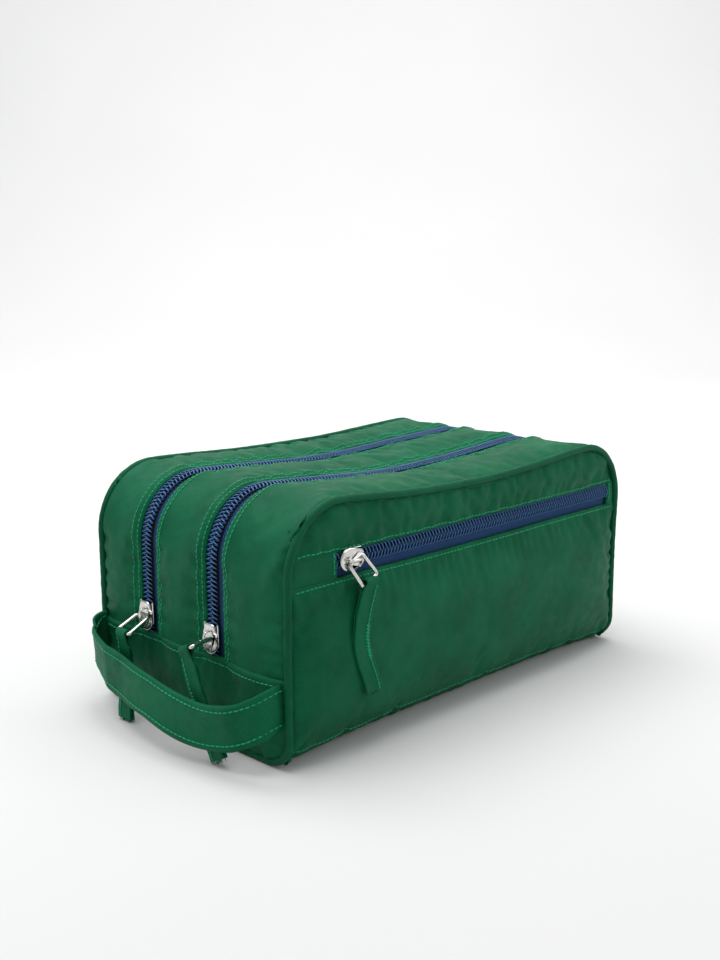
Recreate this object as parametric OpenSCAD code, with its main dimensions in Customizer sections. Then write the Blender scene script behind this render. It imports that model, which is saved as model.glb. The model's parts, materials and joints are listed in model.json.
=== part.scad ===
// Two-compartment nylon wash bag with two long zips over its top, a zipped
// front pocket and a side strap handle. Origin on the floor, at the middle of
// the base; X runs along the bag, -Y faces the pocket, +Z is up.

/* [Body] */
// Length between the two end seams
body_l = 266; // [210:1:330]
// Depth between the front and back seams
body_w = 146; // [122:1:185]
// Height of the bag
body_h = 125; // [106:1:160]
// Radius of the top corners, seen from the front
top_r = 34; // [22:1:42]
// Radius of the bottom corners, seen from the end
bottom_r = 15; // [10:1:22]
// Thickness of the outer fabric with its backing
shell_t = 1.4; // [1:0.1:2]
// Thickness of the lining fabric
lining_t = 0.6; // [0.4:0.1:1]
// Thickness of the padded wall between the two compartments
divider_t = 1.6; // [1:0.1:4]
// Height of the seam between the front or back and the bottom
bottom_seam_z = 5; // [3:0.5:9]
// Diameter of the piping
piping_d = 4; // [3:0.25:5]

/* [Main zips] */
// Distance of the front zip in front of the middle
front_zip_off = 19; // [16:0.5:24]
// Distance of the rear zip behind the middle
rear_zip_off = 33.5; // [28:0.5:38]
// Height of the top edge of the end patches
patch_z = 44; // [38:1:52]
// Height of the main sliders' centres when shut, above the patch edge
slider_above_patch = 9; // [8.5:0.5:14]
// Width of tape that shows on the front side of a coil
tape_show_wide = 4.5; // [3:0.5:6]
// Width of tape that shows on the back side of a coil
tape_show_narrow = 1; // [0.8:0.1:2]

/* [Pocket] */
// Height of the pocket zip's centre line below the top
pocket_zip_drop = 29.5; // [27:0.5:40]
// Length of the fabric end that covers the zip at the slider's side
pocket_end_left = 30; // [20:1:45]
// Length of the fabric end that covers the zip at the far side
pocket_end_right = 9; // [7:1:20]
// Room inside the flat pocket
pocket_gap = 3.4; // [3.2:0.1:6]

/* [Zip chain] */
// Width of the closed coil
coil_w = 8; // [7:0.5:9]
// Height of the coil above its tape
coil_t = 2.6; // [2.2:0.1:3]
// Width of one tape
tape_w = 12.5; // [11:0.5:15]
// Thickness of the tape
tape_t = 0.6; // [0.4:0.1:0.8]
// Gap between the two halves, where the slider's post runs
chain_gap = 0.9; // [0.8:0.1:1.2]

/* [Slider] */
// Length of the slider's body
slider_l = 15.5; // [14:0.5:17]
// Width of the slider's body
slider_w = 11.6; // [10.5:0.1:12.5]
// Thickness of the slider's plates
slider_plate_t = 1.3; // [1:0.1:1.6]
// Space that the slider leaves around the chain
run_clear = 0.3; // [0.25:0.05:0.4]

/* [Pulls] */
// Diameter of the pull ring's wire
ring_wire = 1.8; // [1.4:0.1:2]
// Inside width of the pull ring
ring_in_w = 8.6; // [8:0.1:10]
// Distance between the ring's two bars, centre to centre
ring_reach = 13.6; // [12:0.2:16]
// Width of the fabric pull below the ring
tab_w = 10.4; // [9:0.2:12]
// Thickness of one layer of the fabric pull
tab_layer_t = 1.1; // [0.8:0.1:1.3]
// Length of the two main pulls, from the ring's outer bar
main_tab_len = 46; // [38:1:48]
// Length of the pocket's pull, from the ring's outer bar
pocket_tab_len = 55; // [40:1:62]

/* [Handle] */
// Width of the strap
strap_w = 22; // [18:1:24]
// Thickness of the strap
strap_t = 2; // [1.5:0.1:2.6]
// How far the strap stands out from the end
strap_out = 26; // [24.5:0.5:34]
// Height of the strap's middle at the front seam
strap_z_front = 32; // [28:1:40]
// Height of the strap's middle at its low point
strap_z_low = 25; // [22:1:36]
// Height of the strap's middle at the back seam
strap_z_back = 37; // [30:1:42]
// Furthest the handle is swung up or down from where it lies
strap_swing = 25; // [10:1:25]

/* [Hidden] */
$fn = 48;
half_l = body_l / 2;
half_w = body_w / 2;
piping_r = piping_d / 2;
front_zip_y = -front_zip_off;
rear_zip_y = rear_zip_off;
main_slider_z = patch_z + slider_above_patch;
pocket_zip_z = body_h - pocket_zip_drop;
strip_edge_wide = coil_w / 2 + tape_show_wide;
strip_edge_narrow = coil_w / 2 + tape_show_narrow;
coil_out = coil_t - shell_t;
divider_y = (front_zip_y + rear_zip_y) / 2;
lining_depth = shell_t + tape_t;
backing_depth = shell_t + pocket_gap;
front_lining_depth = backing_depth + lining_t;
slot_half = slider_w / 2 + 1.2;
tape_tuck = 8;
pocket_zip_x0 = -half_l + pocket_end_left;
pocket_zip_x1 = half_l - pocket_end_right;
pocket_slider_x = pocket_zip_x0 + slider_l / 2 + 1.2;
pocket_top_z = pocket_zip_z - strip_edge_wide;
pocket_over_z = pocket_zip_z + coil_w / 2 + run_clear;
// Levels of the slider, outwards from the face of the fabric
plate_z = coil_out + run_clear;
crown_open = ring_wire + 0.6;
crown_z = plate_z + slider_plate_t;
ring_z = crown_z + crown_open / 2;
under_z = -(lining_depth + run_clear);
crown_half_l = 3.5;
crown_end = 1;
crown_w = 1.8;
post_w = 0.5;
// Half the length of the ring's bars
ring_half = (ring_in_w + ring_wire) / 2;
// How each pull lies at rest: the ring's dip below level, the roll of its
// bars, and the lean of the fabric pull within its own plane
front_dip = 7;
front_roll = 26;
rear_dip = 25;
pocket_turn = 32;
pocket_lift = 14;
tab_play = 0.25;
// The pocket's ring hangs across its zip, so it has slid along its inner bar
// until one leg rests against the end of the crown
pocket_slip = (crown_half_l + crown_end) * cos(pocket_turn) + crown_w / 2 * sin(pocket_turn)
    + ring_wire / 2 + run_clear - ring_half;
big = 1000;

fabric = "#1b5f41";
lining_green = "#24523c";
navy = "#1e3264";
nickel = "#c8c8cc";

// ---- Outlines of the bag ----

// Rounded top corners, seen from the front, drawn inwards by d
module arch_outline(d) {
    r = top_r - d;
    w = half_l - d;
    h = body_h - d;
    translate([-w, d - big]) square([2 * w, h - r - d + big]);
    translate([-w + r, 0]) square([2 * (w - r), h]);
    for (s = [-1, 1]) translate([s * (w - r), h - r]) circle(r);
}

// Rounded bottom corners, seen from the end, drawn inwards by d
module end_outline(d) {
    r = bottom_r - d;
    w = half_w - d;
    translate([-w, bottom_r]) square([2 * w, body_h + 1]);
    translate([-w + r, d]) square([2 * (w - r), body_h]);
    for (s = [-1, 1]) translate([s * (w - r), bottom_r]) circle(r);
}

module arch_solid(d) {
    rotate([90, 0, 0]) linear_extrude(body_w + 2, center = true) arch_outline(d);
}

module end_solid(d) {
    rotate([90, 0, 90]) linear_extrude(body_l + 2, center = true) end_outline(d);
}

// Space inside the bag's skin, drawn inwards by d
module inside(d) {
    intersection() {
        arch_solid(d);
        end_solid(d);
    }
}

// A slab across the whole bag between two Y values or two Z values
module slab_y(y0, y1) {
    translate([-big / 2, y0, -1]) cube([big, y1 - y0, body_h + 20]);
}

module slab_z(z0, z1) {
    translate([-big / 2, -big / 2, z0]) cube([big, big, z1 - z0]);
}

module slab_x(x0, x1) {
    translate([x0, -big / 2, -1]) cube([x1 - x0, big, body_h + 20]);
}

// The over-the-top band between two depths and two Y values
module gusset_band(outer_d, inner_d, y0, y1) {
    rotate([90, 0, 0]) translate([0, 0, -y1]) linear_extrude(y1 - y0) difference() {
        arch_outline(outer_d);
        arch_outline(inner_d);
    }
}

// ---- Piping: one closed loop round both faces and under both ends ----

module piping_face(y) {
    z0 = bottom_r + piping_r;
    rise = body_h - top_r - z0;
    for (s = [-1, 1]) {
        translate([s * half_l, y, z0]) cylinder(rise, r = piping_r);
        translate([s * (half_l - top_r), y, body_h - top_r])
            rotate([90, s > 0 ? 0 : -90, 0])
                rotate_extrude(angle = 90) translate([top_r, 0]) circle(piping_r);
    }
    translate([-half_l + top_r, y, body_h])
        rotate([0, 90, 0]) cylinder(body_l - 2 * top_r, r = piping_r);
}

module piping_end(x) {
    translate([x, -half_w + bottom_r, piping_r])
        rotate([-90, 0, 0]) cylinder(body_w - 2 * bottom_r, r = piping_r);
    for (s = [-1, 1])
        translate([x, s * (half_w - bottom_r), bottom_r + piping_r])
            rotate([-90, 0, s * 90])
                rotate_extrude(angle = 90) translate([bottom_r, 0]) circle(piping_r);
}

module piping_loop() {
    for (s = [-1, 1]) {
        piping_face(s * half_w);
        piping_end(s * half_l);
    }
}

module seam_piping() { color(fabric) piping_loop(); }

// ---- Outer panels ----

// Front, bottom and back as one skin, less the piping
module wrap() {
    difference() {
        intersection() {
            end_solid(0);
            arch_solid(0);
        }
        end_solid(shell_t);
        piping_loop();
    }
}

module front_upper_panel() {
    color(fabric) intersection() {
        wrap();
        slab_y(-big, 0);
        slab_z(pocket_over_z, body_h + 10);
    }
}

module pocket_panel() {
    color(fabric) intersection() {
        wrap();
        slab_y(-big, 0);
        slab_z(bottom_seam_z, pocket_top_z);
    }
}

module pocket_end(x0, x1) {
    color(fabric) intersection() {
        wrap();
        slab_y(-big, 0);
        slab_z(pocket_top_z, pocket_over_z);
        slab_x(x0, x1);
    }
}

module pocket_end_tab_left() { pocket_end(-half_l - 1, pocket_zip_x0); }
module pocket_end_tab_right() { pocket_end(pocket_zip_x1, half_l + 1); }

module back_panel() {
    color(fabric) intersection() {
        wrap();
        slab_y(0, big);
        slab_z(bottom_seam_z, body_h + 10);
    }
}

module bottom_panel() {
    color(fabric) intersection() {
        wrap();
        slab_z(-1, bottom_seam_z);
    }
}

// Back wall of the pocket
module pocket_backing() {
    color(lining_green) intersection() {
        inside(shell_t);
        slab_y(-half_w + backing_depth, -half_w + front_lining_depth);
    }
}

// One strip of the over-the-top band, above the end patches
module strip(y0, y1) {
    color(fabric) difference() {
        intersection() {
            gusset_band(0, shell_t, y0, y1);
            end_solid(shell_t);
            slab_z(patch_z, body_h + 10);
        }
        piping_loop();
    }
}

module gusset_front_strip() { strip(-half_w + shell_t, front_zip_y - strip_edge_wide); }
module gusset_middle_strip() { strip(front_zip_y + strip_edge_narrow, rear_zip_y - strip_edge_wide); }
module gusset_rear_strip() { strip(rear_zip_y + strip_edge_narrow, half_w - shell_t); }

module end_patch(side) {
    color(fabric) difference() {
        intersection() {
            gusset_band(0, shell_t, -half_w + shell_t, half_w - shell_t);
            end_solid(shell_t);
            slab_z(-1, patch_z);
            slab_x(side < 0 ? -big : 0, side < 0 ? 0 : big);
        }
        piping_loop();
    }
}

module left_end_patch() { end_patch(-1); }
module right_end_patch() { end_patch(1); }

// ---- Inside ----

module divider() {
    color(lining_green) intersection() {
        inside(lining_depth);
        slab_y(divider_y - divider_t / 2, divider_y + divider_t / 2);
    }
}

// Lining of one compartment: thin walls all round, open along its zip
module lining_walls(y0, y1, zip_y) {
    difference() {
        intersection() {
            inside(lining_depth);
            slab_y(y0, y1);
        }
        inside(lining_depth + lining_t);
        translate([-big / 2, zip_y - slot_half, patch_z - 1])
            cube([big, 2 * slot_half, body_h]);
    }
}

module front_lining() {
    color(lining_green) {
        lining_walls(-half_w + front_lining_depth, divider_y - divider_t / 2, front_zip_y);
        intersection() {
            inside(lining_depth);
            slab_y(-half_w + front_lining_depth, -half_w + front_lining_depth + lining_t);
        }
    }
}

module rear_lining() {
    color(lining_green)
        lining_walls(divider_y + divider_t / 2, half_w - lining_depth, rear_zip_y);
    color(lining_green) intersection() {
        inside(lining_depth);
        slab_y(half_w - lining_depth - lining_t, half_w - lining_depth);
    }
}

// ---- Zip chains ----

// One half of a main zip; side is -1 for the front half and 1 for the back
module main_tape(zip_y, side) {
    y0 = zip_y + side * chain_gap / 2;
    y1 = zip_y + side * tape_w;
    color(navy) intersection() {
        gusset_band(shell_t, lining_depth, min(y0, y1), max(y0, y1));
        slab_z(patch_z - tape_tuck, body_h + 10);
    }
}

module main_coil(zip_y, side) {
    y0 = zip_y + side * chain_gap / 2;
    y1 = zip_y + side * coil_w / 2;
    color(navy) intersection() {
        gusset_band(-coil_out, shell_t, min(y0, y1), max(y0, y1));
        slab_z(patch_z, body_h + 10);
    }
}

module front_zip_tape_front() { main_tape(front_zip_y, -1); }
module front_zip_tape_back() { main_tape(front_zip_y, 1); }
module front_zip_coil_front() { main_coil(front_zip_y, -1); }
module front_zip_coil_back() { main_coil(front_zip_y, 1); }
module rear_zip_tape_front() { main_tape(rear_zip_y, -1); }
module rear_zip_tape_back() { main_tape(rear_zip_y, 1); }
module rear_zip_coil_front() { main_coil(rear_zip_y, -1); }
module rear_zip_coil_back() { main_coil(rear_zip_y, 1); }

// One half of the pocket zip; side is 1 for the upper half and -1 for the lower
module pocket_half(depth, thick, reach, side, extra) {
    x0 = pocket_zip_x0 - extra;
    x1 = min(pocket_zip_x1 + extra, half_l - piping_r - run_clear);
    z0 = pocket_zip_z + side * chain_gap / 2;
    z1 = pocket_zip_z + side * reach;
    translate([x0, -half_w + depth, min(z0, z1)]) cube([x1 - x0, thick, abs(z1 - z0)]);
}

module pocket_tape(side) {
    color(navy) intersection() {
        pocket_half(shell_t, tape_t, tape_w, side, tape_tuck);
        inside(shell_t);
    }
}

module pocket_coil(side) {
    color(navy) pocket_half(-coil_out, coil_t, coil_w / 2, side, 0);
}

module pocket_zip_tape_upper() { pocket_tape(1); }
module pocket_zip_tape_lower() { pocket_tape(-1); }
module pocket_zip_coil_upper() { pocket_coil(1); }
module pocket_zip_coil_lower() { pocket_coil(-1); }

// ---- Sliders and pulls, drawn along X with the face of the fabric at Z = 0 ----

module at_main(zip_y) { translate([-half_l, zip_y, main_slider_z]) rotate([0, -90, 0]) children(); }
module at_pocket() { translate([pocket_slider_x, -half_w, pocket_zip_z]) rotate([90, 0, 0]) children(); }

// Plate with a round nose and a straight tail
module slider_plate(z, thick, w) {
    nose_x = -slider_l / 2 + w / 2;
    translate([nose_x, 0, z]) cylinder(thick, d = w);
    translate([nose_x, -w / 2 + 0.6, z]) cube([slider_l / 2 - nose_x, w - 1.2, thick]);
}

module slider() {
    color(nickel) {
        slider_plate(plate_z, slider_plate_t, slider_w);
        slider_plate(under_z - slider_plate_t, slider_plate_t, slider_w - 1);
        // Side flanges that guide the coil
        for (s = [-1, 1])
            translate([-slider_l / 4, s * (slider_w / 2 - 0.7) - 0.5, run_clear])
                cube([slider_l * 3 / 4, 1, plate_z - run_clear + 0.1]);
        // Post between the plates, at the nose
        translate([-slider_l / 2 + 2, -post_w / 2, under_z - 0.1])
            cube([3.2, post_w, plate_z - under_z + 0.2]);
        // Crown that holds the ring
        for (s = [-1, 1])
            translate([s * (crown_half_l + crown_end / 2) - crown_end / 2, -crown_w / 2, crown_z - 0.1])
                cube([crown_end, crown_w, crown_open + 0.1]);
        translate([-crown_half_l - crown_end, -crown_w / 2, crown_z + crown_open])
            cube([2 * (crown_half_l + crown_end), crown_w, 1.2]);
    }
}

// Ring of round wire: inner bar at the origin along Y, outer bar at -X
module ring() {
    color(nickel) {
        for (x = [0, -ring_reach])
            translate([x, -ring_half, 0]) rotate([-90, 0, 0]) cylinder(2 * ring_half, d = ring_wire);
        for (s = [-1, 1])
            translate([0, s * ring_half, 0]) {
                rotate([0, -90, 0]) cylinder(ring_reach, d = ring_wire);
                sphere(d = ring_wire);
                translate([-ring_reach, 0, 0]) sphere(d = ring_wire);
            }
    }
}

// Folded fabric pull: a loop round the ring's outer bar, here at the origin
// along Y, and a double layer that hangs to -Z, leaning by lean
module pull(len, lean) {
    bore = ring_wire + 2 * tab_play;
    loop_d = bore + 2 * tab_layer_t;
    neck_w = ring_in_w - 0.6;
    below = ring_wire + 1.4;
    color(fabric) difference() {
        union() {
            rotate([90, 0, 0]) cylinder(neck_w, d = loop_d, center = true);
            translate([-tab_layer_t, -neck_w / 2, -below - 1.4])
                cube([2 * tab_layer_t, neck_w, below + 1.4]);
            translate([0, 0, -below]) rotate([lean, 0, 0])
                translate([-tab_layer_t, -tab_w / 2, -len + below])
                    cube([2 * tab_layer_t, tab_w, len - below]);
        }
        rotate([90, 0, 0]) cylinder(neck_w + 2, d = bore, center = true);
    }
}

// Places for a main pull: the ring's frame at the crown, then the outer bar
module main_ring_frame(zip_y, roll) {
    at_main(zip_y) translate([0, 0, ring_z]) rotate([0, 0, roll]) children();
}

module main_ring(zip_y, roll, dip) {
    main_ring_frame(zip_y, roll) rotate([0, 90 - dip, 0]) ring();
}

module main_pull(zip_y, roll, dip) {
    main_ring_frame(zip_y, roll)
        translate([-ring_reach * sin(dip), 0, ring_reach * cos(dip)])
            rotate([0, 90, 0]) pull(main_tab_len, 0);
}

module pocket_ring_frame() {
    at_pocket() translate([0, 0, ring_z]) rotate([0, 0, 90 + pocket_turn])
        translate([0, -pocket_slip, 0]) children();
}

module front_zip_slider() { at_main(front_zip_y) slider(); }
module rear_zip_slider() { at_main(rear_zip_y) slider(); }
module pocket_zip_slider() { at_pocket() slider(); }

module front_zip_pull_ring() { main_ring(front_zip_y, front_roll, front_dip); }
module rear_zip_pull_ring() { main_ring(rear_zip_y, 0, rear_dip); }
module pocket_zip_pull_ring() { pocket_ring_frame() rotate([0, pocket_lift, 0]) ring(); }

module front_zip_pull_tab() { main_pull(front_zip_y, front_roll, front_dip); }
module rear_zip_pull_tab() { main_pull(rear_zip_y, 0, rear_dip); }
module pocket_zip_pull_tab() {
    pocket_ring_frame()
        translate([-ring_reach * cos(pocket_lift), 0, ring_reach * sin(pocket_lift)])
            rotate([0, 90, 0]) pull(pocket_tab_len, pocket_turn);
}

// ---- Handle ----

// Middle line of the strap, from the front seam (u = 0) to the back seam (1)
function strap_x(u) = -half_l - 0.4 - strap_out * pow(sin(180 * u), 0.5);
function strap_y(u) = -(half_w - piping_r - 1.5) * cos(180 * u);
function strap_z(u) = strap_z_front * pow(1 - u, 2) + strap_z_back * pow(u, 2)
    + 2 * u * (1 - u) * (2 * strap_z_low - (strap_z_front + strap_z_back) / 2);

function strap_at(u) = [strap_x(u), strap_y(u), strap_z(u)];
function flat(v) = [v.x, v.y, 0];
function unit(v) = v / norm(v);
// The strap's thickness runs across its path, level with the floor
function strap_side(u) =
    let (t = unit(flat(strap_at(min(u + 0.01, 1)) - strap_at(max(u - 0.01, 0)))))
        [-t.y, t.x, 0];
// Half the width, drawn in towards each seam so that the strap can swing
function strap_half(u) =
    let (out = -half_l - strap_x(u))
        min(strap_w / 2, (out * cos(strap_swing) - 0.25) / sin(strap_swing));
function strap_section(u) =
    let (c = strap_at(u), s = strap_side(u) * strap_t / 2, h = [0, 0, strap_half(u)])
        [c - s - h, c + s - h, c + s + h, c - s + h];

module handle() {
    steps = 40;
    // Sections crowd towards the seams, where the strap turns out fastest
    us = [for (i = [0:steps]) let (k = i / steps) (1 - cos(180 * k)) / 2];
    points = [for (u = us) each strap_section(u)];
    sides = [for (i = [0:steps - 1], j = [0:3])
        [4 * i + j, 4 * i + (j + 1) % 4, 4 * i + 4 + (j + 1) % 4, 4 * i + 4 + j]];
    ends = [[3, 2, 1, 0], [for (j = [0:3]) 4 * steps + j]];
    color(fabric) polyhedron(points, concat(sides, ends));
}

front_upper_panel();
pocket_panel();
pocket_backing();
pocket_end_tab_left();
pocket_end_tab_right();
back_panel();
bottom_panel();
left_end_patch();
right_end_patch();
gusset_front_strip();
gusset_middle_strip();
gusset_rear_strip();
divider();
front_lining();
rear_lining();
seam_piping();
front_zip_tape_front();
front_zip_tape_back();
front_zip_coil_front();
front_zip_coil_back();
rear_zip_tape_front();
rear_zip_tape_back();
rear_zip_coil_front();
rear_zip_coil_back();
pocket_zip_tape_upper();
pocket_zip_tape_lower();
pocket_zip_coil_upper();
pocket_zip_coil_lower();
front_zip_slider();
front_zip_pull_ring();
front_zip_pull_tab();
rear_zip_slider();
rear_zip_pull_ring();
rear_zip_pull_tab();
pocket_zip_slider();
pocket_zip_pull_ring();
pocket_zip_pull_tab();
handle();
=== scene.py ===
import json
import math

import bmesh
import bpy
import numpy as np
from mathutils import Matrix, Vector, noise


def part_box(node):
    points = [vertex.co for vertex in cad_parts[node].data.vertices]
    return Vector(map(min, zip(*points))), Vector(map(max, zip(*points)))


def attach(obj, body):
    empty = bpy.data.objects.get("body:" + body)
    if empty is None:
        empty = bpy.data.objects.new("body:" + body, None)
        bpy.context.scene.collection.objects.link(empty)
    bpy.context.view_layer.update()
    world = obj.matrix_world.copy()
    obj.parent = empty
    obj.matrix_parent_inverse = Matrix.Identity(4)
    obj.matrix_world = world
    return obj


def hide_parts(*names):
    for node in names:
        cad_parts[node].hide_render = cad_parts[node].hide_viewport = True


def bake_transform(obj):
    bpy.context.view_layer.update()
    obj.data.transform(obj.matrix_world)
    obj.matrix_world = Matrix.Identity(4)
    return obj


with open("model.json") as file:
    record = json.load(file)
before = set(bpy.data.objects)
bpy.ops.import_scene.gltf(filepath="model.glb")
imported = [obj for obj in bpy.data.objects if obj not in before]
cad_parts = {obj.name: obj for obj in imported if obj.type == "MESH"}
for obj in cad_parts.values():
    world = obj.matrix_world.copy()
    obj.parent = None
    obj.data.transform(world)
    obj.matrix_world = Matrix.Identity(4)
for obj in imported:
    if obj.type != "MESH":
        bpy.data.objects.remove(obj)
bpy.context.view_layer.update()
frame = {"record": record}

# A limp nylon wash bag. X runs along it, Y from its front to its back and Z up. Sizes and places are in
# millimetres, apart from those of the camera, the lamps and the studio, which are in metres.
MM = 0.001


# ---- the camera
def look(ob, target):
    """Turn a camera or a lamp towards a point."""
    ob.rotation_euler = (Vector(target) - ob.location).to_track_quat("-Z", "Y").to_euler()


def camera():
    """The photograph's view: from the front left, a little above the bag."""
    data = bpy.data.cameras.new("camera")
    data.lens, data.sensor_width = 45.0, 36.0
    cam = bpy.data.objects.new("camera", data)
    bpy.context.collection.objects.link(cam)
    cam.location = (-0.4804, -0.4586, 0.2420)
    look(cam, (-0.012, 0.0, 0.111))
    bpy.context.scene.camera = cam


camera()


# ---- the frame
def low(node):
    """A node's lowest corner, in millimetres."""
    return np.array(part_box(node)[0]) / MM


def high(node):
    """A node's highest corner, in millimetres."""
    return np.array(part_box(node)[1]) / MM


HALF_L = high("gusset_middle_strip")[0]
TOP_Z = high("gusset_middle_strip")[2]
HALF_W = high("back_panel")[1]
PATCH_Z = high("left_end_patch")[2]
TOP_R = 34.0  # the front's and back's top corners
BOTTOM_R = 15.0  # the ends' bottom corners
FRONT_EDGE = high("gusset_front_strip")[1]
MID_EDGES = low("gusset_middle_strip")[1], high("gusset_middle_strip")[1]
REAR_EDGE = low("gusset_rear_strip")[1]
ZIP_Y = {
    "front": (high("front_zip_coil_front")[1] + low("front_zip_coil_back")[1]) / 2,
    "rear": (high("rear_zip_coil_front")[1] + low("rear_zip_coil_back")[1]) / 2,
}
POCKET_Z = (low("pocket_zip_coil_upper")[2] + high("pocket_zip_coil_lower")[2]) / 2
POCKET_TOP = high("pocket_panel")[2]
POCKET_OVER = low("front_upper_panel")[2]
POCKET_X = high("pocket_end_tab_left")[0], low("pocket_end_tab_right")[0]
DIVIDER_Y = (low("divider")[1] + high("divider")[1]) / 2

TAPE_T = 0.6
SHELL_T = low("divider")[0] + HALF_L - TAPE_T  # the divider stands inside the cloth and the zips' tapes
LINING_T = 0.6
DIVIDER_T = 1.6


# ---- grids of points
def cells(stops, size):
    """Values from the first stop to the last, with every stop kept and steps near size."""
    out = [stops[0]]
    for a, b in zip(stops, stops[1:]):
        n = max(1, round((b - a) / size))
        out += [a + (b - a) * (k + 1) / n for k in range(n)]
    return np.array(out)


STEP = 3.0  # size of the simulated cloth's cells
XS = cells([-HALF_L, POCKET_X[0], -HALF_L + TOP_R, HALF_L - TOP_R, POCKET_X[1], HALF_L], STEP)
ZS = cells([BOTTOM_R, PATCH_Z, POCKET_TOP, POCKET_OVER, TOP_Z], STEP)
YS = cells([-HALF_W, -HALF_W + BOTTOM_R, FRONT_EDGE, MID_EDGES[0], MID_EDGES[1],
            REAR_EDGE, HALF_W - BOTTOM_R, HALF_W], STEP)
CORNER_YS = YS[YS <= -HALF_W + BOTTOM_R + 1e-6]
DIAGONAL = math.sqrt(0.5)
STRAIGHT = 0.3  # the share of an arc's grid lines that stay level


def side_share(t):
    """How far up an arc of radius 1 the grid line at t meets it: level with t at first, 45 degrees at 1."""
    return np.where(t <= STRAIGHT, t, STRAIGHT + (t - STRAIGHT) * (DIAGONAL - STRAIGHT) / (1 - STRAIGHT))


def quarter(a, b):
    """Map a unit square onto a quarter disc, with the square's far corner at 45 degrees on the arc."""
    sb, ta = side_share(b), side_share(a)
    left = np.sqrt(1 - sb**2), sb
    top = ta, np.sqrt(1 - ta**2)
    x = a * left[0] + (1 - b) * a + b * top[0] - a * (1 - b) - a * b * DIAGONAL
    y = (1 - a) * b + a * left[1] + b * top[1] - (1 - a) * b - a * b * DIAGONAL
    return x, y


def arch(x, z):
    """Round the top corners of a grid of X and Z values."""
    a = np.clip((np.abs(x) - (HALF_L - TOP_R)) / TOP_R, 0, 1)
    b = np.clip((z - (TOP_Z - TOP_R)) / TOP_R, 0, 1)
    qa, qb = quarter(a, b)
    inside = (a > 0) & (b > 0)
    x2 = np.where(inside, np.sign(x) * (HALF_L - TOP_R + TOP_R * qa), x)
    return x2, np.where(inside, TOP_Z - TOP_R + TOP_R * qb, z)


def cradle(y, z):
    """Round the bottom corners of a grid of Y and Z values."""
    a = np.clip((np.abs(y) - (HALF_W - BOTTOM_R)) / BOTTOM_R, 0, 1)
    b = np.clip((BOTTOM_R - z) / BOTTOM_R, 0, 1)
    qa, qb = quarter(a, b)
    inside = (a > 0) & (b > 0)
    y2 = np.where(inside, np.sign(y) * (HALF_W - BOTTOM_R + BOTTOM_R * qa), y)
    return y2, np.where(inside, BOTTOM_R - BOTTOM_R * qb, z)


def wrap_grid():
    """Front, bottom and back: one row per point of the U-shaped section, one column per X."""
    drop = BOTTOM_R * (1 - np.arange(len(CORNER_YS)) / (len(CORNER_YS) - 1))
    side = [(HALF_W, z) for z in ZS[::-1]]
    side += [(HALF_W, z) for z in drop[1:]]
    floor = [(-y, 0.0) for y in YS[1:-1]]
    section = [(-y, z) for y, z in side] + [(-y, z) for y, z in floor] + side[::-1]
    y, z = (np.array(v)[:, None] * np.ones(len(XS)) for v in zip(*section))
    x = np.ones(len(section))[:, None] * XS
    y, z = cradle(y, z)
    x, z2 = arch(x, z)
    return np.stack([x, y, np.where(z > BOTTOM_R, z2, z)], -1)


def gusset_grid():
    """Up the left end, over the top and down the right end: one row per point, one column per Y."""
    drop = BOTTOM_R * np.arange(len(CORNER_YS) - 1) / (len(CORNER_YS) - 1)
    rise = np.concatenate([drop, ZS])
    path = [(-HALF_L, z) for z in rise] + [(x, TOP_Z) for x in XS[1:-1]]
    path += [(HALF_L, z) for z in rise[::-1]]
    x, z = (np.array(v)[:, None] * np.ones(len(YS)) for v in zip(*path))
    y = np.ones(len(path))[:, None] * YS
    x, z = arch(x, z)
    y, z2 = cradle(y, z)
    return np.stack([x, y, np.where(z < BOTTOM_R, z2, z)], -1)


WRAP, GUSSET = wrap_grid(), gusset_grid()


def weld(*grids):
    """Number the points of the grids so that points in one place share a number."""
    flat = np.concatenate([g.reshape(-1, 3) for g in grids])
    keys = np.round(flat / 0.02).astype(int)
    _, first, index = np.unique(keys, axis=0, return_index=True, return_inverse=True)
    index = index.reshape(-1)
    ids, start = [], 0
    for g in grids:
        n = g.shape[0] * g.shape[1]
        ids.append(index[start:start + n].reshape(g.shape[:2]))
        start += n
    return flat[first], ids


POINTS, (WRAP_ID, GUSSET_ID) = weld(WRAP, GUSSET)


def quads(ids):
    """The faces between the points of a numbered grid."""
    return np.stack([ids[:-1, :-1], ids[1:, :-1], ids[1:, 1:], ids[:-1, 1:]], -1).reshape(-1, 4)


# ---- the soft shape
def wave(p, size, seed):
    """Smooth noise at a point, from about -1 to 1."""
    return noise.noise(Vector(p) / size + Vector((seed, 3.1 * seed, 0.7 * seed)))


RUN_W = 14.0  # half width of the calm cloth beside the sliders' runs
SAG, SAG_LESS_BEHIND = 6.2, 2.4  # how far the top hangs in its middle
CLOTH_REACH = 7.0  # the furthest that a point may move in the simulation
SIM_SCALE, SIM_FRAMES = 0.01, 30  # Blender's metres for each millimetre while the cloth moves
NEAR = 0.1  # how close to a plane a point counts as on it


def slider_runs(p):
    """How much a point belongs to the stretches of zip that the sliders run on: 1 on them, 0 far off."""
    x, y, z = p
    at_end = max(0.0, -x - HALF_L + 8) / 8
    main = max(math.exp(-((y - at) / RUN_W) ** 2) for at in ZIP_Y.values()) * at_end
    on_front = y < -HALF_W + NEAR
    return main, math.exp(-((z - POCKET_Z) / RUN_W) ** 2) * on_front


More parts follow.
